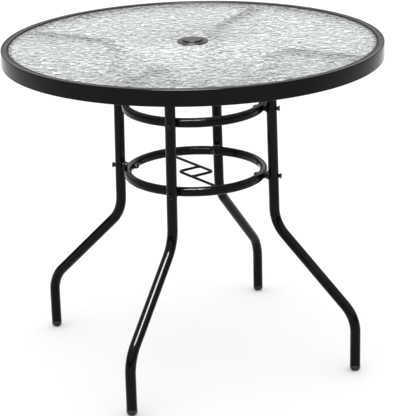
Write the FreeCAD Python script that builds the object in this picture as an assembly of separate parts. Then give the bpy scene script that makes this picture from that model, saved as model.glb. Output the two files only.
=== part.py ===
"""Round patio table: a pattern glass top in a steel rim, on four bent tube legs.

Millimetres, +Z up. The origin is on the floor, below the middle of the top.
One leg stands towards each of -Y (front), +X (right), +Y (back) and -X (left).
"""
import FreeCAD, Part
import math
import os
from FreeCAD import Vector

# Table top
table_diameter = 813.0
table_height = 711.0

# Rim: a band rolled from sheet steel, with a ledge that carries the glass
rim_height = 34.0
rim_sheet = 1.5
rim_top_width = 14.0
rim_ledge_width = 9.0
rim_bottom_lip = 8.0
rim_outer_rounding = 3.5
rim_inner_rounding = 2.5
lip_above_glass = 2.5

# Glass and its edge gasket
glass_thickness = 5.0
glass_edge_rounding = 1.0
glass_play = 0.5
gasket_wall = 1.0
gasket_grip = 4.0
glass_hole_diameter = 51.0

# Umbrella collar: a snap-in moulding with four feet below the glass
collar_flange_diameter = 66.0
collar_flange_thickness = 2.7
collar_flange_rounding = 1.2
collar_bore_diameter = 40.0
collar_play_in_glass = 0.6
collar_cap_seat_depth = 3.4
collar_foot_width = 8.0
collar_foot_depth = 4.0
collar_foot_wall = 3.0
collar_barb = 1.8
collar_barb_gap = 0.2
collar_feet_angle = 62.0

# Cap that closes the collar
cap_diameter = 44.0
cap_thickness = 3.0
cap_overhang = 1.0
cap_rounding = 0.9
cap_spigot_length = 3.0
cap_spigot_wall = 2.0
cap_spigot_play = 0.2
cap_seat_gap = 0.1

# Legs: bent round tube, each lying in one upright plane
leg_diameter = 22.5
leg_wall = 1.2
leg_stance = 173.4
leg_lean = 1.1
leg_plane_turn = -11.9
leg_knee_height = 313.5
leg_ankle_height = 123.5
leg_foot_out = 195.0
leg_top_bend = 46.0
leg_knee_bend = 82.0
arm_below_ledge = 0.5
arm_end_gap = 4.2

# Feet: plastic plugs with rounded bottoms
foot_diameter = 22.9
foot_height = 13.0
foot_rounding = 8.0
foot_stem_length = 16.0
foot_stem_rounding = 1.0
plug_play = 0.2

# Brackets that hold the legs' arms to the rim, and their screws
bracket_plate = 3.0
bracket_width = 34.0
bracket_margin = 0.5
bracket_plug_length = 30.0
arm_screw_diameter = 5.0
arm_screw_from_end = 14.0
arm_screw_depth = 10.0
arm_screw_head_diameter = 9.0
arm_screw_head_height = 2.0
arm_screw_socket = 2.5
hole_play = 0.2
thread_play = 0.05
screw_head_rounding = 0.8
screw_tip_rounding = 0.4

# Rings between the legs: both the same, of tube with flat sides and round top and bottom
ring_tube_width = 16.5
ring_tube_height = 20.4
ring_tube_rounding = 8.0
ring_tube_wall = 1.2
upper_ring_height = 571.5
lower_ring_height = 421.0
ring_to_leg = 7.0

# Spacers, bolts and cap nuts that join the rings to the legs
spacer_leg_diameter = 22.0
spacer_ring_diameter = 15.0
spacer_leg_wrap = 2.5
spacer_ring_wrap = 1.5
spacer_waist_rounding = 5.0
spacer_edge_rounding = 0.5
bolt_diameter = 6.0
bolt_head_diameter = 12.4
bolt_neck_diameter = 8.0
bolt_head_height = 6.0
bolt_head_edge = 1.4
bolt_flare_rounding = 2.5
bolt_edge_rounding = 0.5
bolt_socket = 4.0
bolt_socket_depth = 3.0
bolt_seat_gap = 0.12
nut_across_flats = 10.0
nut_hex_height = 5.0
nut_dome_height = 4.0
nut_dome_inset = 0.3
nut_dome_root = 1.0
nut_thread_depth = 7.0
nut_seat_gap = 0.12
bolt_in_nut = 5.5

# Pole guide: two bent rods inside the lower ring
rod_diameter = 6.0
rod_bend = 9.0
rod_below_ring = 3.0
guide_long_spacing = 56.0
guide_short_spacing = 49.0
guide_angle = -37.3

SIDES = {"front": -90.0, "right": 0.0, "back": 90.0, "left": 180.0}

# Worked out from the sizes above
glass_top = table_height - lip_above_glass
glass_bottom = glass_top - glass_thickness
ledge_top = glass_bottom - gasket_wall
rim_bottom = table_height - rim_height
rim_radius = table_diameter / 2
rim_inside = rim_radius - rim_sheet
rim_opening = rim_radius - rim_top_width
gasket_radius = rim_opening - glass_play
glass_radius = gasket_radius - gasket_wall
leg_radius = leg_diameter / 2
leg_arm_height = ledge_top - rim_sheet - arm_below_ledge - leg_radius
plug_radius = leg_radius - leg_wall - plug_play
plane_turn = math.radians(leg_plane_turn)
lean_slope = math.tan(math.radians(leg_lean))
lean_middle = (upper_ring_height + lower_ring_height) / 2


def rounded_edges(points, radii, closed):
    """Lines and tangent arcs through the points, rounded by each point's radius."""
    count = len(points)
    cuts = []
    for i, point in enumerate(points):
        at_end = not closed and i in (0, count - 1)
        if at_end or radii[i] == 0:
            cuts.append((point, None, point))
            continue
        back = (points[i - 1] - point).normalize()
        ahead = (points[(i + 1) % count] - point).normalize()
        half = back.getAngle(ahead) / 2
        run = radii[i] / math.tan(half)
        middle = (back + ahead).normalize() * (radii[i] / math.sin(half) - radii[i])
        cuts.append((point + back * run, point + middle, point + ahead * run))
    edges = []
    for i in range(count):
        start, middle, end = cuts[i]
        if middle is not None:
            edges.append(Part.Arc(start, middle, end).toShape())
        if i < count - 1 or closed:
            following = cuts[(i + 1) % count][0]
            edges.append(Part.LineSegment(end, following).toShape())
    return edges


def turned(corners):
    """Solid of revolution about Z; each corner is (radius, height, rounding)."""
    points = [Vector(radius, 0, height) for radius, height, rounding in corners]
    radii = [rounding for radius, height, rounding in corners]
    face = Part.Face(Part.Wire(rounded_edges(points, radii, True)))
    return face.revolve(Vector(0, 0, 0), Vector(0, 0, 1), 360)


def cylinder(start, direction, radius, length):
    return Part.makeCylinder(radius, length, start, direction)


def rod_along(points, radii, radius):
    """Solid round bar along lines and tangent arcs."""
    path = Part.Wire(rounded_edges(points, radii, False))
    section = Part.Circle(points[0], points[1] - points[0], radius)
    return path.makePipe(Part.Face(Part.Wire(section.toShape())))


def hexagon(across_flats, length):
    """Six-sided prism that rises from the origin along Z."""
    corner = across_flats / math.sqrt(3)
    turns = [math.radians(60 * i) for i in range(7)]
    points = [Vector(corner * math.cos(t), corner * math.sin(t), 0) for t in turns]
    return Part.Face(Part.makePolygon(points)).extrude(Vector(0, 0, length))


def radial(shape, height):
    """Lay a shape made along Z so that Z becomes the distance out along +X."""
    laid = shape.rotated(Vector(0, 0, 0), Vector(0, 1, 0), 90)
    return laid.translated(Vector(0, 0, height))


def about_table(shape, degrees):
    return shape.rotated(Vector(0, 0, 0), Vector(0, 0, 1), degrees)


def at_each_leg(shape):
    return [about_table(shape, degrees) for degrees in SIDES.values()]


def one_solid(shape):
    """The single solid inside the result of a boolean operation."""
    solids = shape.Solids
    assert len(solids) == 1, "expected one solid"
    return solids[0]


def leg_lean_out(height):
    """How far the leaning shank stands out from the stance at this height."""
    return (lean_middle - height) * lean_slope


def leg_point(out, height):
    """Point in the right leg's plane, this far out from the stance."""
    across = out * math.sin(plane_turn)
    return Vector(leg_stance + out * math.cos(plane_turn), across, height)


def arm_reach(radius):
    """How far along its plane the arm goes until it is this far from the axis."""
    along = leg_stance * math.cos(plane_turn)
    return math.sqrt(along ** 2 - leg_stance ** 2 + radius ** 2) - along


arm_direction = Vector(math.cos(plane_turn), math.sin(plane_turn), 0)
arm_out = arm_reach(rim_inside - bracket_plate - arm_end_gap)
arm_end = leg_point(arm_out, leg_arm_height)
foot_centre = leg_point(leg_foot_out, 0)


def leg_x(height):
    """Distance of the shank's centre line from the table's axis."""
    return leg_point(leg_lean_out(height), height).x


# Radii of the rings' outer wall, middle and inner wall
ring_outside = leg_x(lower_ring_height) - leg_radius - ring_to_leg
ring_radius = ring_outside - ring_tube_width / 2
ring_inside = ring_outside - ring_tube_width


def rim_frame():
    ledge_radius = rim_opening - rim_ledge_width
    inner_round = rim_inner_rounding - rim_sheet
    return turned([
        (rim_radius - rim_bottom_lip, rim_bottom, 0),
        (rim_radius, rim_bottom, rim_inner_rounding),
        (rim_radius, table_height, rim_outer_rounding),
        (rim_opening, table_height, rim_inner_rounding),
        (rim_opening, ledge_top, 0),
        (ledge_radius, ledge_top, 0),
        (ledge_radius, ledge_top - rim_sheet, 0),
        (rim_opening + rim_sheet, ledge_top - rim_sheet, rim_sheet),
        (rim_opening + rim_sheet, table_height - rim_sheet, inner_round),
        (rim_inside, table_height - rim_sheet, rim_outer_rounding - rim_sheet),
        (rim_inside, rim_bottom + rim_sheet, inner_round),
        (rim_radius - rim_bottom_lip, rim_bottom + rim_sheet, 0),
    ])


def glass_top_disc():
    hole = glass_hole_diameter / 2
    return turned([
        (hole, glass_bottom, glass_edge_rounding),
        (glass_radius, glass_bottom, glass_edge_rounding),
        (glass_radius, glass_top, glass_edge_rounding),
        (hole, glass_top, glass_edge_rounding),
    ])


def glass_gasket():
    grip_radius = glass_radius - gasket_grip
    return turned([
        (grip_radius, ledge_top, 0),
        (gasket_radius, ledge_top, 0),
        (gasket_radius, glass_top + gasket_wall, gasket_wall),
        (grip_radius, glass_top + gasket_wall, gasket_wall / 2),
        (grip_radius, glass_top, 0),
        (glass_radius, glass_top, 0),
        (glass_radius, glass_bottom, 0),
        (grip_radius, glass_bottom, 0),
    ])


def collar_foot():
    """One snap foot below the collar's sleeve, with its barb under the glass."""
    sleeve = glass_hole_diameter / 2 - collar_play_in_glass
    inside = sleeve - collar_foot_wall
    barb_top = glass_bottom - collar_barb_gap
    ring = turned([
        (inside, glass_bottom - collar_foot_depth, 0),
        (sleeve, glass_bottom - collar_foot_depth, 0),
        (sleeve + collar_play_in_glass + collar_barb, barb_top - collar_barb, 0),
        (sleeve + collar_play_in_glass + collar_barb, barb_top, 0),
        (sleeve, barb_top, 0),
        (sleeve, glass_bottom + collar_foot_wall, 0),
        (inside, glass_bottom + collar_foot_wall, 0),
    ])
    low = glass_bottom - collar_foot_depth
    tall = collar_foot_depth + collar_foot_wall
    corner = Vector(0, -collar_foot_width / 2, low)
    sector = Part.makeBox(collar_flange_diameter, collar_foot_width, tall, corner)
    return ring.common(sector)


def umbrella_collar():
    bore = collar_bore_diameter / 2
    seat = cap_diameter / 2 - cap_overhang
    flange_top = glass_top + collar_flange_thickness
    seat_floor = flange_top - collar_cap_seat_depth
    body = turned([
        (bore, glass_bottom, 0),
        (glass_hole_diameter / 2 - collar_play_in_glass, glass_bottom, 0),
        (glass_hole_diameter / 2 - collar_play_in_glass, glass_top, 0),
        (collar_flange_diameter / 2, glass_top, 0),
        (collar_flange_diameter / 2, flange_top, collar_flange_rounding),
        (seat, flange_top, 0),
        (seat, seat_floor, 0),
        (bore, seat_floor, 0),
    ])
    foot = collar_foot()
    feet = [about_table(foot, collar_feet_angle + 90 * i) for i in range(4)]
    return one_solid(body.fuse(feet).removeSplitter())


def collar_cap():
    seat = cap_diameter / 2 - cap_overhang
    spigot = seat - cap_spigot_play
    low = glass_top + collar_flange_thickness + cap_seat_gap
    inside = spigot - cap_spigot_wall
    return turned([
        (0, low, 0),
        (inside, low, 0),
        (inside, low - cap_spigot_length, 0),
        (spigot, low - cap_spigot_length, 0),
        (spigot, low, 0),
        (cap_diameter / 2, low, 0),
        (cap_diameter / 2, low + cap_thickness, cap_rounding),
        (0, low + cap_thickness, 0),
    ])


def leg_path():
    """Centre line of the right leg, from its arm's end down to its foot plug."""
    arm_corner = leg_lean_out(leg_arm_height)
    knee = leg_lean_out(leg_knee_height)
    return [
        arm_end,
        leg_point(arm_corner, leg_arm_height),
        leg_point(knee, leg_knee_height),
        leg_point(leg_foot_out, leg_ankle_height),
        leg_point(leg_foot_out, foot_height),
    ]


def leg_bar(radius):
    bends = [0, leg_top_bend, leg_knee_bend, leg_knee_bend, 0]
    return rod_along(leg_path(), bends, radius)


def arm_screw_start():
    """Point on the arm's centre line above its screw."""
    return arm_end - arm_direction * arm_screw_from_end


def leg():
    tube = leg_bar(leg_radius).cut(leg_bar(leg_radius - leg_wall))
    hole = bolt_diameter / 2 + hole_play
    drills = []
    for height in (upper_ring_height, lower_ring_height):
        start = Vector(leg_x(height) - leg_diameter, 0, height)
        drills.append(cylinder(start, Vector(1, 0, 0), hole, 2 * leg_diameter))
    screw_hole = arm_screw_diameter / 2 + hole_play
    drills.append(cylinder(arm_screw_start(), Vector(0, 0, -1), screw_hole, leg_diameter))
    return one_solid(tube.cut(drills))


def foot():
    plug = turned([
        (0, 0, 0),
        (foot_diameter / 2, 0, foot_rounding),
        (foot_diameter / 2, foot_height, 0),
        (plug_radius, foot_height, 0),
        (plug_radius, foot_height + foot_stem_length, foot_stem_rounding),
        (0, foot_height + foot_stem_length, 0),
    ])
    return plug.translated(foot_centre)


def rim_bracket():
    """Plate welded inside the rim, with a plug that fills the arm's end."""
    low = rim_bottom + rim_inner_rounding + bracket_margin
    high = ledge_top - rim_sheet - bracket_margin
    plate_radius = rim_inside - bracket_plate
    axis = Vector(0, 0, 1)
    band = cylinder(Vector(0, 0, low), axis, rim_inside, high - low)
    band = band.cut(cylinder(Vector(0, 0, low), axis, plate_radius, high - low))
    corner = Vector(0, -bracket_width / 2, low)
    sector = Part.makeBox(table_diameter, bracket_width, high - low, corner)
    aim = math.degrees(math.atan2(arm_end.y, arm_end.x))
    plate = band.common(about_table(sector, aim))
    start = arm_end - arm_direction * bracket_plug_length
    plug = cylinder(start, arm_direction, plug_radius, table_diameter)
    mid_plate = rim_inside - bracket_plate / 2
    plug = plug.common(cylinder(Vector(0, 0, rim_bottom), axis, mid_plate, rim_height))
    screw = arm_screw_diameter / 2 + thread_play
    hole = cylinder(arm_screw_start(), Vector(0, 0, -1), screw, leg_diameter)
    return one_solid(plate.fuse(plug).cut(hole).removeSplitter())


def arm_screw():
    under = -leg_radius - bolt_seat_gap
    socket_depth = arm_screw_head_height
    screw = turned([
        (0, 0, 0),
        (0, under - arm_screw_head_height, 0),
        (arm_screw_head_diameter / 2, under - arm_screw_head_height, screw_head_rounding),
        (arm_screw_head_diameter / 2, under, 0),
        (arm_screw_diameter / 2, under, 0),
        (arm_screw_diameter / 2, 0, screw_tip_rounding),
    ])
    socket = hexagon(arm_screw_socket, socket_depth)
    socket = socket.translated(Vector(0, 0, under - arm_screw_head_height))
    return screw.cut(socket).translated(arm_screw_start())


def ring_bar(height, inset):
    """Solid ring with the tube's section, drawn in by the inset on every side."""
    half_width = ring_tube_width / 2 - inset
    half_height = ring_tube_height / 2 - inset
    rounding = ring_tube_rounding - inset
    return turned([
        (ring_radius - half_width, height - half_height, rounding),
        (ring_radius + half_width, height - half_height, rounding),
        (ring_radius + half_width, height + half_height, rounding),
        (ring_radius - half_width, height + half_height, rounding),
    ])


def ring(height):
    tube = ring_bar(height, 0).cut(ring_bar(height, ring_tube_wall))
    hole = bolt_diameter / 2 + hole_play
    start = Vector(ring_radius - ring_tube_width, 0, height)
    drill = cylinder(start, Vector(1, 0, 0), hole, 2 * ring_tube_width)
    return one_solid(tube.cut(at_each_leg(drill)))


def ring_spacer(height):
    """Spool between ring and leg, hollowed on both ends to hug the tubes."""
    outer = leg_x(height) - leg_radius + spacer_leg_wrap
    inner = ring_outside - spacer_ring_wrap
    waist = (outer + inner) / 2
    spool = turned([
        (bolt_diameter / 2 + hole_play, inner, 0),
        (spacer_ring_diameter / 2, inner, spacer_edge_rounding),
        (spacer_ring_diameter / 2, waist, spacer_waist_rounding),
        (spacer_leg_diameter / 2, outer - spacer_leg_wrap / 2, spacer_edge_rounding),
        (spacer_leg_diameter / 2, outer, 0),
        (bolt_diameter / 2 + hole_play, outer, 0),
    ])
    spool = radial(spool, height)
    return one_solid(spool.cut([ring_bar(height, 0), leg_bar(leg_radius)]))


def ring_bolt(height):
    """Bolt from outside the leg into the cap nut inside the ring."""
    seat = leg_x(height) + leg_radius + bolt_seat_gap
    tip = ring_inside - bolt_in_nut
    crown = seat + bolt_head_height
    bolt = turned([
        (0, tip, 0),
        (bolt_diameter / 2, tip, bolt_edge_rounding),
        (bolt_diameter / 2, seat, 0),
        (bolt_neck_diameter / 2, seat, 0),
        (bolt_neck_diameter / 2, seat + bolt_head_height / 3, bolt_flare_rounding),
        (bolt_head_diameter / 2, crown - bolt_head_edge, bolt_edge_rounding),
        (bolt_head_diameter / 2, crown, bolt_edge_rounding),
        (0, crown, 0),
    ])
    socket = hexagon(bolt_socket, bolt_socket_depth)
    bolt = bolt.cut(socket.translated(Vector(0, 0, crown - bolt_socket_depth)))
    return radial(bolt, height)


def ring_nut(height):
    """Cap nut against the inside of the ring."""
    face = ring_inside - nut_seat_gap
    back = face - nut_hex_height
    dome_radius = nut_across_flats / 2 - nut_dome_inset
    dome = turned([
        (0, back - nut_dome_height, 0),
        (dome_radius, back - nut_dome_height, nut_dome_height - nut_dome_inset),
        (dome_radius, back + nut_dome_root, 0),
        (0, back + nut_dome_root, 0),
    ])
    hexagonal = hexagon(nut_across_flats, nut_hex_height).translated(Vector(0, 0, back))
    thread = bolt_diameter / 2 + thread_play
    start = Vector(0, 0, face - nut_thread_depth)
    bore = cylinder(start, Vector(0, 0, 1), thread, nut_thread_depth)
    return radial(one_solid(hexagonal.fuse(dome).cut(bore)), height)


def guide_point(along, across):
    return Vector(along, across, lower_ring_height - rod_below_ring)


def long_arm_start():
    """A point inside the ring's tube where the rod's long arm begins."""
    return -math.sqrt(ring_radius ** 2 - (guide_long_spacing / 2) ** 2)


def guide_rod():
    """One rod: a long arm from the ring, a tip, and a short arm to the other rod."""
    side = guide_long_spacing / 2
    tip = guide_short_spacing / 2
    points = [
        guide_point(long_arm_start(), side),
        guide_point(tip, side),
        guide_point(tip, -side),
    ]
    bar = rod_along(points, [0, rod_bend, 0], rod_diameter / 2)
    along = Vector(1, 0, 0)
    other = cylinder(guide_point(-tip, -side), along, rod_diameter / 2, table_diameter)
    bar = bar.cut([ring_bar(lower_ring_height, 0), other])
    return one_solid(about_table(bar, guide_angle))


def sub_parts():
    """Every node's shape under its name."""
    parts = {
        "rim_frame": rim_frame(),
        "glass_top": glass_top_disc(),
        "glass_gasket": glass_gasket(),
        "umbrella_collar": umbrella_collar(),
        "collar_cap": collar_cap(),
        "upper_ring": ring(upper_ring_height),
        "lower_ring": ring(lower_ring_height),
        "guide_rod_back": guide_rod(),
        "guide_rod_front": about_table(guide_rod(), 180),
    }
    each_leg = {"leg": leg(), "foot": foot(), "rim_bracket": rim_bracket()}
    for name, shape in each_leg.items():
        for side, degrees in SIDES.items():
            parts[name + "_" + side] = about_table(shape, degrees)
    levels = {"upper": upper_ring_height, "lower": lower_ring_height}
    for level, height in levels.items():
        parts[level + "_ring_spacers"] = Part.makeCompound(at_each_leg(ring_spacer(height)))
        parts[level + "_ring_bolts"] = Part.makeCompound(at_each_leg(ring_bolt(height)))
        parts[level + "_ring_cap_nuts"] = Part.makeCompound(at_each_leg(ring_nut(height)))
    parts["arm_screws"] = Part.makeCompound(at_each_leg(arm_screw()))
    return parts


def main():
    os.makedirs("parts", exist_ok=True)
    for name, shape in sub_parts().items():
        if not shape.isValid():
            print("not valid:", name)
        shape.exportStep(os.path.join("parts", name + ".step"))
        print(name, len(shape.Solids), round(shape.Volume))


main()
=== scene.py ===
"""A round patio umbrella table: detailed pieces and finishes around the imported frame.

Metres, +Z up. The origin is on the floor below the middle of the top. The front leg's shank
stands towards -Y and the right leg's towards +X.
"""
import math

import bmesh
import bpy
from mathutils import Matrix, Vector


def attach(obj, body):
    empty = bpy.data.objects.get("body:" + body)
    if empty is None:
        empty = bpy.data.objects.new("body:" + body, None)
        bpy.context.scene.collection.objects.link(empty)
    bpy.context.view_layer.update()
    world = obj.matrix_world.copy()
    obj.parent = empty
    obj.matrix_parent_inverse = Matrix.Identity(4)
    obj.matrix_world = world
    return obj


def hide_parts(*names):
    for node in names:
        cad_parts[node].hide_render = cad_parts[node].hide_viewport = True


MM = 0.001

# Edge roundings that several pieces share
CRISP_EDGE = 0.2 * MM
FINE_EDGE = 0.3 * MM
EASED_EDGE = 0.4 * MM
SOFT_EDGE = 0.5 * MM

# How far a cutter or a joined shape reaches past a face, what counts as the same place, and
# how close two points are before they are merged
OVERLAP = 1 * MM
SAME_PLACE = 0.02 * MM
DOUBLED = 0.005 * MM

# Table top
TABLE_RADIUS = 406.5 * MM
TABLE_HEIGHT = 711 * MM
RIM_HEIGHT = 34 * MM
RIM_SHEET = 1.5 * MM
RIM_TOP_WIDTH = 14 * MM
RIM_LEDGE_WIDTH = 9 * MM
RIM_BOTTOM_LIP = 8 * MM
RIM_OUTER_ROUNDING = 2.2 * MM
RIM_INNER_ROUNDING = 1.6 * MM
LEDGE_TOP = 702.5 * MM
GLASS_TOP = 708.5 * MM
GLASS_BOTTOM = 703.5 * MM
GLASS_RADIUS = 391 * MM
GLASS_HOLE_RADIUS = 25.5 * MM
GLASS_EDGE_ROUNDING = 1 * MM
GASKET_WALL = 1 * MM
GASKET_GRIP = 1.5 * MM

# Umbrella collar and its cap
COLLAR_BORE_RADIUS = 20 * MM
COLLAR_SLEEVE_RADIUS = 24.9 * MM
COLLAR_FLANGE_RADIUS = 33 * MM
COLLAR_TOP = 711.2 * MM
COLLAR_FLANGE_ROUNDING = 1.2 * MM
COLLAR_GROOVE_DEPTH = 0.8 * MM
COLLAR_OUTER_BEAD_TOP = 3.2 * MM
COLLAR_OUTER_BEAD_BASE = 4.4 * MM
COLLAR_INNER_BEAD_TOP = 1.6 * MM
COLLAR_INNER_BEAD_BASE = 3 * MM
COLLAR_SEAT_RADIUS = 21 * MM
COLLAR_SEAT_FLOOR = 707.8 * MM
COLLAR_FOOT_LOW = 699.5 * MM
COLLAR_FOOT_ROUNDING = 0.7 * MM
COLLAR_FOOT_IN_SLEEVE = 0.4 * MM
COLLAR_BARB_TOP = 703.3 * MM
COLLAR_BARB_HEIGHT = 1.8 * MM
COLLAR_BARB_RADIUS = 27.3 * MM
COLLAR_FOOT_INSIDE = 21.9 * MM
COLLAR_FOOT_WIDTH = 8 * MM
COLLAR_FEET = 4
COLLAR_FEET_ANGLE = 62
CAP_RADIUS = 22 * MM
CAP_LOW = 711.3 * MM
CAP_TOP = 714.3 * MM
CAP_ROUNDING = 0.9 * MM
CAP_BORDER = 4 * MM
CAP_DISH_EDGE = 5 * MM
CAP_DISH_EDGE_DEPTH = 0.4 * MM
CAP_DISH_EDGE_ROUNDING = 0.8 * MM
CAP_DISH_DEPTH = 0.5 * MM
CAP_HOLLOW = 0.6 * MM
CAP_SPIGOT_RADIUS = 20.8 * MM
CAP_SPIGOT_WALL = 2 * MM
CAP_SPIGOT_LOW = 708.3 * MM

# Legs and feet
LEG_RADIUS = 11.25 * MM
LEG_WALL = 1.2 * MM
LEG_STANCE = 173.4 * MM
LEG_LEAN = math.radians(1.1)
LEG_LEAN_MIDDLE = 496.25 * MM
LEG_PLANE_TURN = math.radians(-11.9)
ARM_HEIGHT = 689.25 * MM
ARM_END_RADIUS = 397.8 * MM
KNEE_HEIGHT = 313.5 * MM
ANKLE_HEIGHT = 123.5 * MM
FOOT_OUT = 195 * MM
TOP_BEND = 46 * MM
KNEE_BEND = 82 * MM
FOOT_HEIGHT = 13 * MM
FOOT_RADIUS = 11.45 * MM
FOOT_ROUNDING = 8 * MM
FOOT_STEM_RADIUS = 9.85 * MM
FOOT_STEM_TOP = 29 * MM
FOOT_STEM_ROUNDING = 1 * MM
# The stem's line with its grip rings: millimetres above the sole's shoulder, and outwards
FOOT_STEM = [(0, 0), (3, 0), (4, 0.15), (7, 0), (8, 0.15), (11, 0)]

# Brackets inside the rim, and the screws below the arms
BRACKET_PLATE = 3 * MM
BRACKET_WIDTH = 34 * MM
BRACKET_LOW = 680 * MM
BRACKET_HIGH = 700.5 * MM
BRACKET_CORNER = 4 * MM
BRACKET_PLUG_LENGTH = 30 * MM
BRACKET_PLUG_RADIUS = 9.85 * MM
BRACKET_PLUG_ROUNDING = 1.5 * MM
# The plug spreads by a hair over its last stretch, where it is welded to the plate
BRACKET_PLUG_SPREAD = 0.01 * MM
BRACKET_SPREAD_LENGTH = 2.5 * MM
SCREW_FROM_END = 14 * MM
SCREW_RADIUS = 2.5 * MM
SCREW_HEAD_RADIUS = 4.5 * MM
SCREW_HEAD_HEIGHT = 2 * MM
SCREW_HEAD_ROUNDING = 0.8 * MM
SCREW_SOCKET = 2.5 * MM
SCREW_SOCKET_FLOOR = 0.4 * MM
SCREW_GAP = 0.12 * MM

# Rings, spacers, bolts and nuts
RING_TUBE_WIDTH = 16.5 * MM
RING_TUBE_HEIGHT = 20.4 * MM
RING_TUBE_ROUNDING = 8 * MM
UPPER_RING_HEIGHT = 571.5 * MM
LOWER_RING_HEIGHT = 421 * MM
RING_TO_LEG = 7 * MM
SPACER_LEG_RADIUS = 11 * MM
SPACER_RING_RADIUS = 7.5 * MM
SPACER_LEG_WRAP = 2.5 * MM
SPACER_RING_WRAP = 1.5 * MM
SPACER_WAIST_ROUNDING = 5 * MM
BOLT_RADIUS = 3 * MM
BOLT_HOLE_RADIUS = 3.2 * MM
BOLT_NECK_RADIUS = 4 * MM
BOLT_HEAD_RADIUS = 6.2 * MM
BOLT_HEAD_HEIGHT = 6 * MM
BOLT_HEAD_EDGE = 1.4 * MM
BOLT_FLARE_ROUNDING = 1.25 * MM
BOLT_SOCKET = 4 * MM
BOLT_SOCKET_DEPTH = 3 * MM
BOLT_GAP = 0.12 * MM
BOLT_IN_NUT = 5.5 * MM
NUT_ACROSS_FLATS = 10 * MM
NUT_HEX_HEIGHT = 5 * MM
NUT_DOME_HEIGHT = 4 * MM
NUT_DOME_RADIUS = 4.7 * MM
NUT_DOME_FLAT = 0.3 * MM

# Pole guide
ROD_RADIUS = 3 * MM
ROD_BEND = 9 * MM
ROD_HEIGHT = 418 * MM
LONG_SPACING = 56 * MM
SHORT_SPACING = 49 * MM
GUIDE_ANGLE = -37.3
ROD_IN_RING = 2 * MM
WELD_RADIUS = 1.3 * MM
WELD_ROUNDING = 0.6 * MM
WELD_LUMP_SIZE = 1.2 * MM
WELD_LUMP_HEIGHT = 0.5 * MM

# The photograph's viewpoint, for an image of 400 by 416
PHOTO_HEIGHT = 416
FOCAL_PIXELS = 1624.05
CAMERA_DISTANCE = 3572.6 * MM
CAMERA_TARGET_HEIGHT = 350 * MM
CAMERA_AZIMUTH = math.radians(17.103)
CAMERA_ELEVATION = math.radians(18.847)
CAMERA_YAW = math.radians(-0.11)
CAMERA_PITCH = math.radians(-0.255)
CAMERA_ROLL = math.radians(1.513)
SENSOR_WIDTH = 36.0
CAMERA_REACH = 100

# How finely the pieces are divided, and the angles under which their faces are shaded smooth
BEND_STEP_DEGREES = 4
FEWEST_BEND_STEPS = 4
ROUNDING_STEPS = 6
SWING_STEPS = 6
RIM_SIDES = 288
RING_SIDES = 240
COLLAR_SIDES = 128
CAP_SIDES = 96
ROUND_SIDES = 48
WELD_SIDES = 32
ROD_SIDES = 24
HEX_SIDES = 6
GLASS_SIDES = 640
GLASS_GRID = 3.0 * MM
SMOOTH_ANGLE = 40
SCREW_SMOOTH_ANGLE = 30

# The glass's pressed pattern: pebbles in the mesh, and finer ones in the material. A roller
# presses cells of about 10 mm and half a millimetre deep, which average out within a pixel of
# the render, so both kinds are drawn coarser and deeper.
PEBBLE_SIZE = 15 * MM
PEBBLE_DEPTH = 1.6 * MM
PEBBLE_MIDDLE = 0.2
FINE_PEBBLE_SIZE = 13 * MM
FINE_PEBBLE_DEPTH = 1.4 * MM
PLAIN_BORDER = 6 * MM

# The room: sine of elevation and brightness, from the horizon to straight up, then the floor
# and the lamp in metres and watts
ROOM_LIGHT = [(0.0, 0.1), (0.212, 0.12), (0.23, 1.3), (0.6, 1.4), (1.0, 1.3)]
FLOOR_SIZE = 60
LAMP_AZIMUTH = math.radians(10)
LAMP_ELEVATION = math.radians(63)
LAMP_DISTANCE = 4.0
LAMP_SPREAD = math.radians(13)
LAMP_POWER = 900.0

SIDES = {"front": -90, "right": 0, "back": 90, "left": 180}


# Materials

def linear(hex_colour):
    """An sRGB hex colour as linear RGBA."""
    channels = [int(hex_colour[i:i + 2], 16) / 255 for i in (1, 3, 5)]
    return [c / 12.92 if c <= 0.04045 else ((c + 0.055) / 1.055) ** 2.4
            for c in channels] + [1.0]


def add_node(tree, kind, settings=None, links=None, values=None):
    """Add a node; settings are its properties, values its sockets, links its inputs."""
    node = tree.nodes.new(kind)
    for name, value in (settings or {}).items():
        setattr(node, name, value)
    for name, value in (values or {}).items():
        node.inputs[name].default_value = value
    for name, source in (links or {}).items():
        tree.links.new(source, node.inputs[name])
    return node


def new_material(name, values):
    """A material with its shader set, its node tree and its shader node."""
    material = bpy.data.materials.new(name)
    material.use_nodes = True
    tree = material.node_tree
    shader = next(n for n in tree.nodes if n.type == "BSDF_PRINCIPLED")
    for socket, value in values.items():
        shader.inputs[socket].default_value = value
    return material, tree, shader


def place_on_piece(tree):
    """The place on the piece, in the table's own metres."""
    return add_node(tree, "ShaderNodeTexCoord").outputs["Object"]


def noise_of_size(tree, where, size, detail=2.0):
    """Noise whose features are this long, in metres."""
    return add_node(tree, "ShaderNodeTexNoise", values={"Scale": 1 / size, "Detail": detail},
                    links={"Vector": where}).outputs["Fac"]


def colour_between(tree, factor, dark, light):
    """A colour that goes from dark to light over the middle of the noise's range."""
    ramp = add_node(tree, "ShaderNodeValToRGB", links={"Fac": factor})
    for stop, position, colour in zip(ramp.color_ramp.elements, (0.3, 0.7), (dark, light)):
        stop.position = position
        stop.color = linear(colour)
    return ramp.outputs["Color"]


def between(tree, factor, low, high):
    """A number that goes from low to high with the noise."""
    spread = add_node(tree, "ShaderNodeMapRange", values={"To Min": low, "To Max": high},
                      links={"Value": factor})
    return spread.outputs["Result"]


def bump_of(tree, height, distance, strength=1.0):
    """A bump this deep, in metres; a negative depth sinks what is high."""
    node = add_node(tree, "ShaderNodeBump", links={"Height": height},
                    values={"Distance": distance, "Strength": strength})
    return node.outputs["Normal"]


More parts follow.
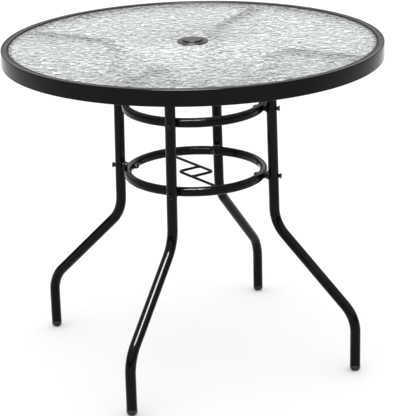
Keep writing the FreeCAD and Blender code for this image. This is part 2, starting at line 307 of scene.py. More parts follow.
def coated_surface(name, values, colours, cloud_size, rough, grain_size, grain_depth):
    """An opaque finish: clouded colour and gloss, with a fine grain over it."""
    material, tree, shader = new_material(name, values)
    where = place_on_piece(tree)
    cloud = noise_of_size(tree, where, cloud_size)
    grain = noise_of_size(tree, where, grain_size, detail=1.0)
    tree.links.new(colour_between(tree, cloud, *colours), shader.inputs["Base Color"])
    tree.links.new(between(tree, cloud, *rough), shader.inputs["Roughness"])
    tree.links.new(bump_of(tree, grain, grain_depth, strength=0.4), shader.inputs["Normal"])
    return material


def powder_coated_steel():
    """Baked polyester powder on steel tube: deep satin black with a fine orange peel.

    Its IOR is low for a powder, because the photographed tubes hardly mirror the pale room.
    """
    return coated_surface("powder_coated_steel", {"IOR": 1.2}, ("#070605", "#0c0b0a"),
                          cloud_size=60 * MM, rough=(0.1, 0.15),
                          grain_size=1.6 * MM, grain_depth=0.006 * MM)


def moulded_abs():
    """Injection-moulded ABS: black, smooth, with a sheen that greys in low light."""
    return coated_surface("moulded_abs", {"IOR": 1.5}, ("#0d0c0c", "#161413"),
                          cloud_size=9 * MM, rough=(0.3, 0.38),
                          grain_size=0.8 * MM, grain_depth=0.012 * MM)


def moulded_polyethylene():
    """Injection-moulded polyethylene: black and waxy, rubbed a little grey."""
    return coated_surface("moulded_polyethylene", {"IOR": 1.42}, ("#0d0c0b", "#161514"),
                          cloud_size=7 * MM, rough=(0.36, 0.5),
                          grain_size=0.7 * MM, grain_depth=0.03 * MM)


def extruded_vinyl():
    """Black vinyl edging: dull, and drawn smooth along its length."""
    return coated_surface("extruded_vinyl", {"IOR": 1.45}, ("#0c0c0c", "#161615"),
                          cloud_size=8 * MM, rough=(0.45, 0.6),
                          grain_size=1.2 * MM, grain_depth=0.02 * MM)


def black_zinc_steel():
    """Black-passivated zinc on steel screws: dark, with a metal sheen."""
    return coated_surface("black_zinc_steel", {"Metallic": 0.8}, ("#1a1817", "#2b2826"),
                          cloud_size=3 * MM, rough=(0.3, 0.45),
                          grain_size=0.5 * MM, grain_depth=0.01 * MM)


def pebble_pattern_glass():
    """Rolled soda-lime glass: clear, faintly green, pressed with a pattern like wet pebbles.

    The larger pebbles are in the mesh, the finer ones are a bump. The roller's matt surface
    leaves a little haze, which is the share that isn't transmission.
    """
    material, tree, shader = new_material("pebble_pattern_glass", {
        "IOR": 1.5, "Roughness": 0.03, "Transmission Weight": 0.88,
        "Base Color": linear("#fbfffc")})
    pebbles = add_node(tree, "ShaderNodeTexVoronoi", values={"Scale": 1 / FINE_PEBBLE_SIZE},
                       links={"Vector": place_on_piece(tree)})
    valleys = bump_of(tree, pebbles.outputs["Distance"], -FINE_PEBBLE_DEPTH)
    tree.links.new(valleys, shader.inputs["Normal"])
    return material


# Modelling helpers

def deselect_all():
    if bpy.context.mode != "OBJECT":
        bpy.ops.object.mode_set(mode="OBJECT")
    bpy.ops.object.select_all(action="DESELECT")


def select_only(piece):
    deselect_all()
    piece.select_set(True)
    bpy.context.view_layer.objects.active = piece


def open_piece(piece):
    select_only(piece)
    bpy.ops.object.mode_set(mode="EDIT")


def start_piece(name, primitive, **settings):
    """Add a primitive at its place, give it this name and open it for editing."""
    deselect_all()
    primitive(**settings)
    piece = bpy.context.object
    piece.name = piece.data.name = name
    bpy.ops.object.transform_apply(location=True, rotation=True, scale=True)
    open_piece(piece)
    bpy.ops.mesh.select_all(action="SELECT")
    return piece


def pick(kind, test):
    """Select the vertices, edges or faces whose points pass the test, and nothing else."""
    bpy.ops.mesh.select_mode(type=kind)
    bpy.ops.mesh.select_all(action="DESELECT")
    mesh = bpy.context.object.data
    shape = bmesh.from_edit_mesh(mesh)
    for part in {"VERT": shape.verts, "EDGE": shape.edges, "FACE": shape.faces}[kind]:
        corners = [part] if kind == "VERT" else part.verts
        if test([corner.co for corner in corners]):
            part.select_set(True)
    bmesh.update_edit_mesh(mesh)


def near(value, target):
    return abs(value - target) < SAME_PLACE


def at_height(height):
    """A test that is true where every point is at this height."""
    return lambda points: all(near(point.z, height) for point in points)


def on_loop(radius, height):
    """A test that is true where every point is on this circle round the Z axis."""
    def test(points):
        return all(near(point.z, height) and near(point.xy.length, radius) for point in points)
    return test


def extrude(shift):
    bpy.ops.mesh.extrude_region_move(TRANSFORM_OT_translate={"value": shift})


def merge_doubles():
    bpy.ops.mesh.select_all(action="SELECT")
    bpy.ops.mesh.remove_doubles(threshold=DOUBLED)


def close_mesh():
    """Merge doubled points, turn the faces outwards and leave edit mode."""
    merge_doubles()
    bpy.ops.mesh.normals_make_consistent(inside=False)
    bpy.ops.object.mode_set(mode="OBJECT")
    return bpy.context.object


def apply_modifier(piece, kind, **settings):
    select_only(piece)
    modifier = piece.modifiers.new(kind.lower(), kind)
    for name, value in settings.items():
        setattr(modifier, name, value)
    bpy.ops.object.modifier_apply(modifier=modifier.name)


def combine(piece, tool, operation):
    """Cut the tool's shape from the piece, or merge it in, and throw the tool away."""
    apply_modifier(piece, "BOOLEAN", object=tool, operation=operation, solver="EXACT")
    bpy.data.objects.remove(tool)


def move_piece(piece, x=0, y=0, z=0):
    piece.data.transform(Matrix.Translation((x, y, z)))


def turn_about_table(piece, degrees):
    piece.data.transform(Matrix.Rotation(math.radians(degrees), 4, "Z"))


def lay_outwards(piece, height):
    """Turn a piece made along Z so that it points out along +X at this height."""
    piece.data.transform(Matrix.Rotation(math.radians(90), 4, "Y"))
    move_piece(piece, z=height)


def copy_piece(piece, name, degrees=0):
    """A copy with its own mesh, turned about the table's axis."""
    twin = piece.copy()
    twin.data = piece.data.copy()
    twin.name = twin.data.name = name
    bpy.context.scene.collection.objects.link(twin)
    turn_about_table(twin, degrees)
    return twin


def join_all(pieces, name):
    """Join the pieces into the first, under this name."""
    select_only(pieces[0])
    for piece in pieces[1:]:
        piece.select_set(True)
    bpy.ops.object.join()
    pieces[0].name = pieces[0].data.name = name
    return pieces[0]


def at_each_leg(piece, name):
    """Four of the piece, one at each leg, as one mesh."""
    turned = [copy_piece(piece, name, degrees) for degrees in (90, 180, 270)]
    return join_all([piece] + turned, name)


def finish_piece(piece, material, slot, *nodes, body="table", smooth_angle=SMOOTH_ANGLE):
    """Shade the piece, give it its material, and let it ride in place of its CAD nodes."""
    select_only(piece)
    bpy.ops.object.shade_smooth_by_angle(angle=math.radians(smooth_angle))
    piece.data.materials.clear()
    piece.data.materials.append(material)
    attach(piece, body)
    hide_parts(*nodes)


def draw_section(name, section):
    """Draw corners of (radius, height, rounding) as a line in the XZ plane and round them.

    A section that starts and ends on the axis stays open there; any other is closed.
    """
    corners = [Vector((radius, 0, height)) for radius, height, rounding in section]
    route = corners if corners[0].x == 0 else corners + corners[:1]
    start_piece(name, bpy.ops.mesh.primitive_plane_add, size=MM, location=corners[0])
    bpy.ops.mesh.select_mode(type="VERT")
    bpy.ops.mesh.merge(type="CENTER")
    for here, there in zip(route, route[1:]):
        extrude(there - here)
    merge_doubles()
    for rounding in sorted({rounding for radius, height, rounding in section} - {0}):
        wanted = [corner for corner, part in zip(corners, section) if part[2] == rounding]
        pick("VERT", lambda points: any(near((points[0] - c).length, 0) for c in wanted))
        bpy.ops.mesh.bevel(offset=rounding, segments=ROUNDING_STEPS, affect="VERTICES")
    bpy.ops.mesh.select_all(action="SELECT")


def turned_piece(name, section, sides=ROUND_SIDES):
    """A section spun once round the Z axis."""
    draw_section(name, section)
    bpy.ops.mesh.spin(steps=sides, angle=2 * math.pi, center=(0, 0, 0), axis=(0, 0, 1))
    return close_mesh()


def swung_piece(name, section, degrees):
    """A filled section swung through part of a turn, the same to both sides of +X."""
    draw_section(name, section)
    bpy.ops.mesh.edge_face_add()
    bpy.ops.mesh.spin(steps=SWING_STEPS, angle=-math.radians(degrees), center=(0, 0, 0),
                      axis=(0, 0, 1))
    piece = close_mesh()
    turn_about_table(piece, -degrees / 2)
    return piece


def bent_tube(name, points, bends, radius, sides, wall=0):
    """Bar, or tube where it has a wall: a circle extruded and spun along runs and bends."""
    first = points[1] - points[0]
    start_piece(name, bpy.ops.mesh.primitive_circle_add, vertices=sides, radius=radius,
                fill_type="NOTHING" if wall else "NGON", location=points[0],
                rotation=first.to_track_quat("Z", "Y").to_euler())
    here = points[0]
    for i in range(1, len(points)):
        back = (points[i - 1] - points[i]).normalized()
        if i == len(points) - 1:
            extrude(points[i] - here)
            break
        ahead = (points[i + 1] - points[i]).normalized()
        turn = math.pi - back.angle(ahead)
        run = bends[i - 1] * math.tan(turn / 2)
        extrude(points[i] + back * run - here)
        centre = points[i] + (back + ahead).normalized() * (bends[i - 1] / math.cos(turn / 2))
        steps = max(FEWEST_BEND_STEPS, round(math.degrees(turn) / BEND_STEP_DEGREES))
        bpy.ops.mesh.spin(steps=steps, angle=-turn, center=centre, axis=(-back).cross(ahead))
        here = points[i] + ahead * run
    piece = close_mesh()
    if wall:
        apply_modifier(piece, "SOLIDIFY", thickness=wall, offset=-1)
    return piece


def hex_socket(piece, across_flats, low, high):
    """Cut a six-sided socket along Z between two heights."""
    tool = start_piece("socket", bpy.ops.mesh.primitive_cylinder_add, vertices=HEX_SIDES,
                       radius=across_flats / math.sqrt(3), depth=high - low,
                       location=(0, 0, (low + high) / 2))
    bpy.ops.object.mode_set(mode="OBJECT")
    combine(piece, tool, "DIFFERENCE")


# Where the legs and rings stand

def leg_lean_out(height):
    """How far out of the stance the leaning shank is at this height."""
    return (LEG_LEAN_MIDDLE - height) * math.tan(LEG_LEAN)


def leg_point(out, height):
    """A point in the right leg's plane, this far out from the stance."""
    return Vector((LEG_STANCE + out * math.cos(LEG_PLANE_TURN),
                   out * math.sin(LEG_PLANE_TURN), height))


def arm_out(radius):
    """How far along its plane the arm goes until it is this far from the axis."""
    along = LEG_STANCE * math.cos(LEG_PLANE_TURN)
    return math.sqrt(along ** 2 - LEG_STANCE ** 2 + radius ** 2) - along


def leg_x(height):
    """How far the middle of the shank is from the table's axis, where the bolts cross it."""
    return leg_point(leg_lean_out(height), height).x


ARM_END = leg_point(arm_out(ARM_END_RADIUS), ARM_HEIGHT)
ARM_DIRECTION = Vector((math.cos(LEG_PLANE_TURN), math.sin(LEG_PLANE_TURN), 0))
FOOT_CENTRE = leg_point(FOOT_OUT, 0)
RING_OUTSIDE = leg_x(LOWER_RING_HEIGHT) - LEG_RADIUS - RING_TO_LEG
RING_RADIUS = RING_OUTSIDE - RING_TUBE_WIDTH / 2
RING_INSIDE = RING_OUTSIDE - RING_TUBE_WIDTH


# The top

def rolled_rim():
    """The rim: a drum's wall and top, stepped in for the glass, then made sheet metal."""
    low = TABLE_HEIGHT - RIM_HEIGHT
    inner = TABLE_RADIUS - RIM_TOP_WIDTH
    piece = start_piece("rolled_rim", bpy.ops.mesh.primitive_cylinder_add,
                        vertices=RIM_SIDES, radius=TABLE_RADIUS, depth=RIM_HEIGHT,
                        location=(0, 0, low + RIM_HEIGHT / 2))
    pick("FACE", at_height(low))
    bpy.ops.mesh.inset(thickness=RIM_BOTTOM_LIP)
    bpy.ops.mesh.delete(type="FACE")
    pick("FACE", at_height(TABLE_HEIGHT))
    bpy.ops.mesh.inset(thickness=RIM_TOP_WIDTH)
    extrude((0, 0, LEDGE_TOP - TABLE_HEIGHT))
    bpy.ops.mesh.inset(thickness=RIM_LEDGE_WIDTH)
    bpy.ops.mesh.delete(type="FACE")
    pick("EDGE", on_loop(TABLE_RADIUS, TABLE_HEIGHT))
    bpy.ops.mesh.bevel(offset=RIM_OUTER_ROUNDING, segments=ROUNDING_STEPS)
    pick("EDGE", lambda points: at_height(TABLE_HEIGHT)(points)
         and all(point.xy.length < inner + OVERLAP for point in points))
    bpy.ops.mesh.bevel(offset=RIM_INNER_ROUNDING, segments=ROUNDING_STEPS)
    pick("EDGE", on_loop(TABLE_RADIUS, low))
    bpy.ops.mesh.bevel(offset=RIM_INNER_ROUNDING, segments=ROUNDING_STEPS)
    bpy.ops.object.mode_set(mode="OBJECT")
    apply_modifier(piece, "SOLIDIFY", thickness=RIM_SHEET, offset=-1, use_even_offset=True)
    return piece


def pebbled_top():
    """The glass: a section spun round the hole, its upper face pressed with pebbles."""
    inner = GLASS_HOLE_RADIUS
    edge = GLASS_EDGE_ROUNDING
    piece = turned_piece("pebbled_top", [
        (inner, GLASS_BOTTOM, edge), (GLASS_RADIUS, GLASS_BOTTOM, edge),
        (GLASS_RADIUS, GLASS_TOP, edge), (inner, GLASS_TOP, edge)], GLASS_SIDES)
    open_piece(piece)
    pick("EDGE", lambda points: at_height(GLASS_TOP)(points)
         and not near(points[0].xy.length, points[1].xy.length))
    cuts = round((GLASS_RADIUS - inner - 2 * edge) / GLASS_GRID)
    bpy.ops.mesh.subdivide_edgering(number_cuts=cuts, interpolation="LINEAR")
    bpy.ops.object.mode_set(mode="OBJECT")
    pressed = piece.vertex_groups.new(name="pressed")
    first = COLLAR_FLANGE_RADIUS
    last = GLASS_RADIUS - PLAIN_BORDER
    pressed.add([v.index for v in piece.data.vertices
                 if near(v.co.z, GLASS_TOP) and first < v.co.xy.length < last], 1.0, "REPLACE")
    pebbles = bpy.data.textures.new("pebbles", "VORONOI")
    pebbles.noise_scale = PEBBLE_SIZE
    apply_modifier(piece, "DISPLACE", texture=pebbles, texture_coords="LOCAL",
                   vertex_group="pressed", direction="Z", mid_level=PEBBLE_MIDDLE,
                   strength=-PEBBLE_DEPTH)
    return piece


def vinyl_edging():
    """The channel that grips the glass's edge."""
    grip = GLASS_RADIUS - GASKET_GRIP
    edge = GLASS_RADIUS + GASKET_WALL
    return turned_piece("vinyl_edging", [
        (grip, LEDGE_TOP, 0), (edge, LEDGE_TOP, 0),
        (edge, GLASS_TOP + GASKET_WALL, GASKET_WALL),
        (grip, GLASS_TOP + GASKET_WALL, GASKET_WALL / 2),
        (grip, GLASS_TOP, 0), (GLASS_RADIUS, GLASS_TOP, 0),
        (GLASS_RADIUS, GLASS_BOTTOM, 0), (grip, GLASS_BOTTOM, 0)], RIM_SIDES)


def snap_collar():
    """The collar: a beaded flange and sleeve, with four barbed feet below the glass."""
    groove = COLLAR_TOP - COLLAR_GROOVE_DEPTH
    piece = turned_piece("snap_collar", [
        (COLLAR_BORE_RADIUS, GLASS_BOTTOM, SOFT_EDGE),
        (COLLAR_SLEEVE_RADIUS, GLASS_BOTTOM, EASED_EDGE),
        (COLLAR_SLEEVE_RADIUS, GLASS_TOP, 0),
        (COLLAR_FLANGE_RADIUS, GLASS_TOP, FINE_EDGE),
        (COLLAR_FLANGE_RADIUS, COLLAR_TOP, COLLAR_FLANGE_ROUNDING),
        (COLLAR_FLANGE_RADIUS - COLLAR_OUTER_BEAD_TOP, COLLAR_TOP, SOFT_EDGE),
        (COLLAR_FLANGE_RADIUS - COLLAR_OUTER_BEAD_BASE, groove, EASED_EDGE),
        (COLLAR_SEAT_RADIUS + COLLAR_INNER_BEAD_BASE, groove, EASED_EDGE),
        (COLLAR_SEAT_RADIUS + COLLAR_INNER_BEAD_TOP, COLLAR_TOP, FINE_EDGE),
        (COLLAR_SEAT_RADIUS, COLLAR_TOP, FINE_EDGE),
        (COLLAR_SEAT_RADIUS, COLLAR_SEAT_FLOOR, 0),
        (COLLAR_BORE_RADIUS, COLLAR_SEAT_FLOOR, FINE_EDGE)], COLLAR_SIDES)
    root = COLLAR_SLEEVE_RADIUS - COLLAR_FOOT_IN_SLEEVE
    foot = swung_piece("collar_foot", [
        (COLLAR_FOOT_INSIDE, COLLAR_FOOT_LOW, SOFT_EDGE),
        (COLLAR_SLEEVE_RADIUS, COLLAR_FOOT_LOW, COLLAR_FOOT_ROUNDING),
        (COLLAR_BARB_RADIUS, COLLAR_BARB_TOP - COLLAR_BARB_HEIGHT, EASED_EDGE),
        (COLLAR_BARB_RADIUS, COLLAR_BARB_TOP, CRISP_EDGE),
        (root, COLLAR_BARB_TOP, 0), (root, GLASS_BOTTOM + OVERLAP, 0),
        (COLLAR_FOOT_INSIDE, GLASS_BOTTOM + OVERLAP, 0)],
        math.degrees(COLLAR_FOOT_WIDTH / COLLAR_SLEEVE_RADIUS))
    for i in range(COLLAR_FEET):
        angle = COLLAR_FEET_ANGLE + 360 / COLLAR_FEET * i
        combine(piece, copy_piece(foot, "foot", angle), "UNION")
    bpy.data.objects.remove(foot)
    return piece


def collar_plug():
    """The cap: a shallow dish in a flat border, and a spigot that drops into the collar."""
    bore = CAP_SPIGOT_RADIUS - CAP_SPIGOT_WALL
    ceiling = CAP_LOW + CAP_HOLLOW
    return turned_piece("collar_plug", [
        (0, CAP_TOP - CAP_DISH_DEPTH, 0),
        (CAP_RADIUS - CAP_DISH_EDGE, CAP_TOP - CAP_DISH_EDGE_DEPTH, CAP_DISH_EDGE_ROUNDING),
        (CAP_RADIUS - CAP_BORDER, CAP_TOP, SOFT_EDGE),
        (CAP_RADIUS, CAP_TOP, CAP_ROUNDING),
        (CAP_RADIUS, CAP_LOW, CRISP_EDGE),
        (CAP_SPIGOT_RADIUS, CAP_LOW, 0),
        (CAP_SPIGOT_RADIUS, CAP_SPIGOT_LOW, EASED_EDGE),
        (bore, CAP_SPIGOT_LOW, FINE_EDGE), (bore, ceiling, SOFT_EDGE),
        (0, ceiling, 0)], CAP_SIDES)


# The legs, their feet and their brackets

def leg_line():
    """The corners of the right leg's centre line, from its arm down to its foot plug."""
    return [
        ARM_END,
        leg_point(leg_lean_out(ARM_HEIGHT), ARM_HEIGHT),
        leg_point(leg_lean_out(KNEE_HEIGHT), KNEE_HEIGHT),
        leg_point(FOOT_OUT, ANKLE_HEIGHT),
        leg_point(FOOT_OUT, FOOT_HEIGHT),
    ]


def leg_tube(name, wall):
    """The right leg, or with no wall the solid bar that cuts a seat for it."""
    bends = [TOP_BEND, KNEE_BEND, KNEE_BEND]
    return bent_tube(name, leg_line(), bends, LEG_RADIUS, ROUND_SIDES, wall)


def plug_foot():
    """A plug with a rounded sole and two grip rings on the stem inside the tube."""
    stem = [(FOOT_STEM_RADIUS + out * MM, FOOT_HEIGHT + up * MM, 0) for up, out in FOOT_STEM]
    piece = turned_piece("plug_foot", [
        (0, 0, 0), (FOOT_RADIUS, 0, FOOT_ROUNDING), (FOOT_RADIUS, FOOT_HEIGHT, EASED_EDGE),
        *stem, (FOOT_STEM_RADIUS, FOOT_STEM_TOP, FOOT_STEM_ROUNDING),
        (0, FOOT_STEM_TOP, 0)])
    move_piece(piece, FOOT_CENTRE.x, FOOT_CENTRE.y)
    return piece


def arm_bracket():
    """A plate against the rim's inner wall, with the plug that fills the arm's end."""
    outer = TABLE_RADIUS - RIM_SHEET
    inner = outer - BRACKET_PLATE
    half = BRACKET_WIDTH / 2
    piece = swung_piece("arm_bracket", [
        (inner, BRACKET_LOW, 0), (outer, BRACKET_LOW, 0),
        (outer, BRACKET_HIGH, 0), (inner, BRACKET_HIGH, 0)],
        math.degrees(BRACKET_WIDTH / outer))
    open_piece(piece)
    pick("EDGE", lambda points: all(abs(point.y) > half - OVERLAP for point in points)
         and near(points[0].z, points[1].z))
    bpy.ops.mesh.bevel(offset=BRACKET_CORNER, segments=ROUNDING_STEPS)
    bpy.ops.object.mode_set(mode="OBJECT")
    turn_about_table(piece, math.degrees(math.atan2(ARM_END.y, ARM_END.x)))
    reach = outer - BRACKET_PLATE / 2 - ARM_END.xy.length
    plug = turned_piece("arm_plug", [
        (0, -BRACKET_PLUG_LENGTH, 0),
        (BRACKET_PLUG_RADIUS, -BRACKET_PLUG_LENGTH, BRACKET_PLUG_ROUNDING),
        (BRACKET_PLUG_RADIUS, reach - BRACKET_SPREAD_LENGTH, 0),
        (BRACKET_PLUG_RADIUS + BRACKET_PLUG_SPREAD, reach, 0), (0, reach, 0)])
    lay_outwards(plug, ARM_HEIGHT)
    turn_about_table(plug, math.degrees(LEG_PLANE_TURN))
    move_piece(plug, ARM_END.x, ARM_END.y)
    combine(piece, plug, "UNION")
    return piece


def arm_screw():
    """The button-head screw that holds the arm on its plug, driven up from below."""
    under = -LEG_RADIUS - SCREW_GAP
    low = under - SCREW_HEAD_HEIGHT
    piece = turned_piece("arm_screw", [
        (0, low, 0), (SCREW_HEAD_RADIUS, low, SCREW_HEAD_ROUNDING),
        (SCREW_HEAD_RADIUS, under, CRISP_EDGE), (SCREW_RADIUS, under, 0),
        (SCREW_RADIUS, 0, EASED_EDGE), (0, 0, 0)])
    hex_socket(piece, SCREW_SOCKET, low - OVERLAP, under - SCREW_SOCKET_FLOOR)
    move_piece(piece, *(ARM_END - ARM_DIRECTION * SCREW_FROM_END))
    return piece


# The rings, spacers, bolts and nuts

def ring_tube(name, height):
    """A ring of tube with flat sides and rounded top and bottom."""
    out = RING_TUBE_WIDTH / 2
    up = RING_TUBE_HEIGHT / 2
    return turned_piece(name, [
        (RING_RADIUS - out, height - up, RING_TUBE_ROUNDING),
        (RING_RADIUS + out, height - up, RING_TUBE_ROUNDING),
        (RING_RADIUS + out, height + up, RING_TUBE_ROUNDING),
        (RING_RADIUS - out, height + up, RING_TUBE_ROUNDING)], RING_SIDES)


def saddle_spacer(height, ring):
    """A spool hollowed on both ends to hug the leg and the ring."""
    outer = leg_x(height) - LEG_RADIUS + SPACER_LEG_WRAP
    inner = RING_OUTSIDE - SPACER_RING_WRAP
    piece = turned_piece("spacer", [
        (BOLT_HOLE_RADIUS, inner, 0), (SPACER_RING_RADIUS, inner, SOFT_EDGE),
        (SPACER_RING_RADIUS, (outer + inner) / 2, SPACER_WAIST_ROUNDING),
        (SPACER_LEG_RADIUS, outer - SPACER_LEG_WRAP / 2, SOFT_EDGE),
        (SPACER_LEG_RADIUS, outer, 0), (BOLT_HOLE_RADIUS, outer, 0)])
    lay_outwards(piece, height)
    combine(piece, copy_piece(ring, "ring_cutter"), "DIFFERENCE")
    combine(piece, leg_tube("leg_cutter", 0), "DIFFERENCE")
    return piece


def flared_bolt(height):
    """A bolt whose head flares out from a neck, with a hex socket in its end."""
    seat = leg_x(height) + LEG_RADIUS + BOLT_GAP
    tip = RING_INSIDE - BOLT_IN_NUT
    crown = seat + BOLT_HEAD_HEIGHT
    piece = turned_piece("bolt", [
        (0, tip, 0), (BOLT_RADIUS, tip, SOFT_EDGE), (BOLT_RADIUS, seat, 0),
        (BOLT_NECK_RADIUS, seat, CRISP_EDGE),
        (BOLT_NECK_RADIUS, seat + BOLT_HEAD_HEIGHT / 3, BOLT_FLARE_ROUNDING),
        (BOLT_HEAD_RADIUS, crown - BOLT_HEAD_EDGE, SOFT_EDGE),
        (BOLT_HEAD_RADIUS, crown, SOFT_EDGE), (0, crown, 0)])
    hex_socket(piece, BOLT_SOCKET, crown - BOLT_SOCKET_DEPTH, crown + OVERLAP)
    lay_outwards(piece, height)
    return piece


def dome_nut(height):
    """A cap nut: a hexagon with eased edges, and its dome."""
    face = RING_INSIDE - BOLT_GAP
    back = face - NUT_HEX_HEIGHT
    piece = start_piece("nut", bpy.ops.mesh.primitive_cylinder_add, vertices=HEX_SIDES,
                        radius=NUT_ACROSS_FLATS / math.sqrt(3), depth=NUT_HEX_HEIGHT,
                        location=(0, 0, (face + back) / 2))
    pick("EDGE", at_height(back))
    bpy.ops.mesh.bevel(offset=FINE_EDGE, segments=2)
    bpy.ops.object.mode_set(mode="OBJECT")
    dome = turned_piece("dome", [
        (0, back - NUT_DOME_HEIGHT, 0),
        (NUT_DOME_RADIUS, back - NUT_DOME_HEIGHT, NUT_DOME_HEIGHT - NUT_DOME_FLAT),
        (NUT_DOME_RADIUS, back + OVERLAP, 0), (0, back + OVERLAP, 0)])
    combine(piece, dome, "UNION")
    lay_outwards(piece, height)
    return piece


# The pole guide

def weld_bead(x, y):
    """An uneven bead round a rod that lies along X."""
    inside = ROD_RADIUS - SOFT_EDGE
    shoulder = ROD_RADIUS + FINE_EDGE
    piece = turned_piece("bead", [
        (inside, -WELD_RADIUS, SOFT_EDGE), (shoulder, -WELD_RADIUS, EASED_EDGE),
        (ROD_RADIUS + WELD_RADIUS, 0, WELD_ROUNDING),
        (shoulder, WELD_RADIUS, EASED_EDGE), (inside, WELD_RADIUS, SOFT_EDGE)], WELD_SIDES)
    lumps = bpy.data.textures.new("lumps", "CLOUDS")
    lumps.noise_scale = WELD_LUMP_SIZE
    apply_modifier(piece, "DISPLACE", texture=lumps, texture_coords="LOCAL",
                   strength=WELD_LUMP_HEIGHT)
    lay_outwards(piece, ROD_HEIGHT)
    move_piece(piece, x, y)
    return piece


def guide_bar():
    """One rod: a long arm from the ring, a bend, and a short arm that butts the other rod."""
    side = LONG_SPACING / 2
    tip = SHORT_SPACING / 2
    wall = -math.sqrt(RING_INSIDE ** 2 - side ** 2)
    bar = bent_tube("guide_bar", [
        Vector((wall - ROD_IN_RING, side, ROD_HEIGHT)),
        Vector((tip, side, ROD_HEIGHT)),
        Vector((tip, -side + ROD_RADIUS / 2, ROD_HEIGHT))], [ROD_BEND], ROD_RADIUS, ROD_SIDES)
    ring_bead = weld_bead(wall, side)
    butt_bead = weld_bead(0, 0)
    turn_about_table(butt_bead, 90)
    move_piece(butt_bead, tip, -side + ROD_RADIUS)
    bar = join_all([bar, ring_bead, butt_bead], "guide_bar")
    turn_about_table(bar, GUIDE_ANGLE)
    return bar


# Camera, floor and light

def photo_camera():
    """The photograph's viewpoint: a turn, tilt and roll from looking straight at the table."""
    flat = CAMERA_DISTANCE * math.cos(CAMERA_ELEVATION)
    place = Vector((flat * math.sin(CAMERA_AZIMUTH), -flat * math.cos(CAMERA_AZIMUTH),
                    CAMERA_TARGET_HEIGHT + CAMERA_DISTANCE * math.sin(CAMERA_ELEVATION)))
    aim = Vector((0, 0, CAMERA_TARGET_HEIGHT)) - place
    turn = aim.to_track_quat("-Z", "Y").to_matrix()
    turn = turn @ Matrix.Rotation(CAMERA_YAW, 3, "Y") @ Matrix.Rotation(CAMERA_PITCH, 3, "X")
    turn = turn @ Matrix.Rotation(-CAMERA_ROLL, 3, "Z")
    bpy.ops.object.camera_add(location=place, rotation=turn.to_euler())
    camera = bpy.context.object
    camera.data.sensor_width = SENSOR_WIDTH
    camera.data.lens = FOCAL_PIXELS * SENSOR_WIDTH / PHOTO_HEIGHT
    camera.data.clip_end = CAMERA_REACH
    bpy.context.scene.camera = camera


def pale_room():
    """A pale floor in a white room. Its walls are dark up to some 12 degrees, because the
    photographed rim and tubes mirror something dark beyond the floor.
    """
    deselect_all()
    bpy.ops.mesh.primitive_plane_add(size=FLOOR_SIZE)
    floor = bpy.context.object
    floor.name = "floor"
    floor.data.materials.append(new_material("pale_floor", {
        "Roughness": 0.9, "Specular IOR Level": 0.0, "Base Color": linear("#f4f4f4")})[0])
    world = bpy.data.worlds.new("room")
    bpy.context.scene.world = world
    world.use_nodes = True
    tree = world.node_tree
    direction = add_node(tree, "ShaderNodeTexCoord").outputs["Generated"]
    up = add_node(tree, "ShaderNodeSeparateXYZ", links={"Vector": direction}).outputs["Z"]
    room = add_node(tree, "ShaderNodeValToRGB", links={"Fac": up})
    ramp = room.color_ramp
    while len(ramp.elements) < len(ROOM_LIGHT):
        ramp.elements.new(0.5)
    for stop, (height, light) in zip(ramp.elements, ROOM_LIGHT):
        stop.position = height
        stop.color = (light, light, light, 1)
    tree.links.new(room.outputs["Color"], tree.nodes["Background"].inputs["Color"])


def overhead_lamp():
    """A round soft light high before the table, seen only in gloss.

    It gives no light to matt surfaces, so the floor stays even, and nothing at all after a
    matt bounce, so the floor below the glass does too.
    """
    flat = math.cos(LAMP_ELEVATION)
    out = Vector((flat * math.sin(LAMP_AZIMUTH), -flat * math.cos(LAMP_AZIMUTH),
                  math.sin(LAMP_ELEVATION)))
    bpy.ops.object.light_add(type="AREA", location=out * LAMP_DISTANCE,
                             rotation=out.to_track_quat("Z", "Y").to_euler())
    lamp = bpy.context.object
    lamp.name = "overhead_lamp"
    lamp.data.shape = "DISK"
    lamp.data.size = 2 * LAMP_DISTANCE * math.tan(LAMP_SPREAD)
    lamp.data.energy = LAMP_POWER
    lamp.visible_camera = False
    lamp.visible_diffuse = False
    lamp.data.use_nodes = True
    tree = lamp.data.node_tree
    matt_bounces = add_node(tree, "ShaderNodeLightPath").outputs["Diffuse Depth"]
    before_matt = add_node(tree, "ShaderNodeMath", {"operation": "LESS_THAN"},
                           {0: matt_bounces}, {1: 0.5})
    tree.links.new(before_matt.outputs["Value"], tree.nodes["Emission"].inputs["Strength"])


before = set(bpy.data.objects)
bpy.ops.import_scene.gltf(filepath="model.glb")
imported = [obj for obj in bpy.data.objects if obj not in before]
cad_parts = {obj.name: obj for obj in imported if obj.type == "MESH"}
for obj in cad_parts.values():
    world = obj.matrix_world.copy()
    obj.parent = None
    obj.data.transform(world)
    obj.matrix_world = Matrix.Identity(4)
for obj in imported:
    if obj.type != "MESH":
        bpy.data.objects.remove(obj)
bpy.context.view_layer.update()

STEEL = powder_coated_steel()
GLASS = pebble_pattern_glass()
VINYL = extruded_vinyl()
FOOT_PLASTIC = moulded_polyethylene()
COLLAR_PLASTIC = moulded_abs()
SCREWS = black_zinc_steel()

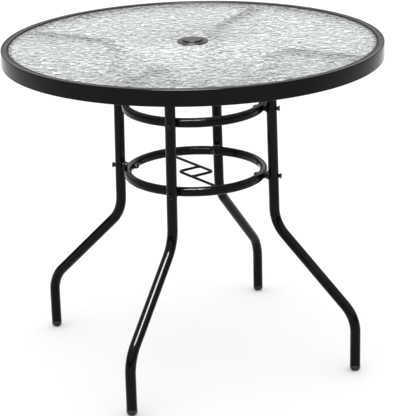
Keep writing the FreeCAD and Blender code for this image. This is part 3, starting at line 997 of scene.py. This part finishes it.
finish_piece(rolled_rim(), STEEL, "powder_coated_steel", "rim_frame")
finish_piece(pebbled_top(), GLASS, "pattern_glass", "glass_top")
finish_piece(vinyl_edging(), VINYL, "black_vinyl", "glass_gasket")
finish_piece(snap_collar(), COLLAR_PLASTIC, "black_plastic", "umbrella_collar")
finish_piece(collar_plug(), COLLAR_PLASTIC, "black_plastic", "collar_cap", body="cap")

REPEATED = [
    (leg_tube("bent_leg", LEG_WALL), STEEL, "powder_coated_steel", "leg"),
    (plug_foot(), FOOT_PLASTIC, "black_plastic", "foot"),
    (arm_bracket(), STEEL, "powder_coated_steel", "rim_bracket"),
]
for model, material, slot, node in REPEATED:
    for side, degrees in SIDES.items():
        finish_piece(copy_piece(model, model.name + "_" + side, degrees), material, slot,
                     node + "_" + side)
    bpy.data.objects.remove(model)

for level, height in (("upper", UPPER_RING_HEIGHT), ("lower", LOWER_RING_HEIGHT)):
    ring = ring_tube("oval_ring_" + level, height)
    node = level + "_ring"
    spacers = at_each_leg(saddle_spacer(height, ring), "saddle_spacers_" + level)
    bolts = at_each_leg(flared_bolt(height), "flared_bolts_" + level)
    nuts = at_each_leg(dome_nut(height), "dome_nuts_" + level)
    finish_piece(ring, STEEL, "powder_coated_steel", node)
    finish_piece(spacers, FOOT_PLASTIC, "black_plastic", node + "_spacers")
    finish_piece(bolts, SCREWS, "blackened_fasteners", node + "_bolts",
                 smooth_angle=SCREW_SMOOTH_ANGLE)
    finish_piece(nuts, SCREWS, "blackened_fasteners", node + "_cap_nuts",
                 smooth_angle=SCREW_SMOOTH_ANGLE)

finish_piece(at_each_leg(arm_screw(), "button_screws"), SCREWS, "blackened_fasteners",
             "arm_screws", smooth_angle=SCREW_SMOOTH_ANGLE)
bar = guide_bar()
finish_piece(copy_piece(bar, "guide_bar_front", 180), STEEL, "powder_coated_steel",
             "guide_rod_front")
finish_piece(bar, STEEL, "powder_coated_steel", "guide_rod_back")

photo_camera()
pale_room()
overhead_lamp()
bpy.context.scene.view_settings.view_transform = "Standard"
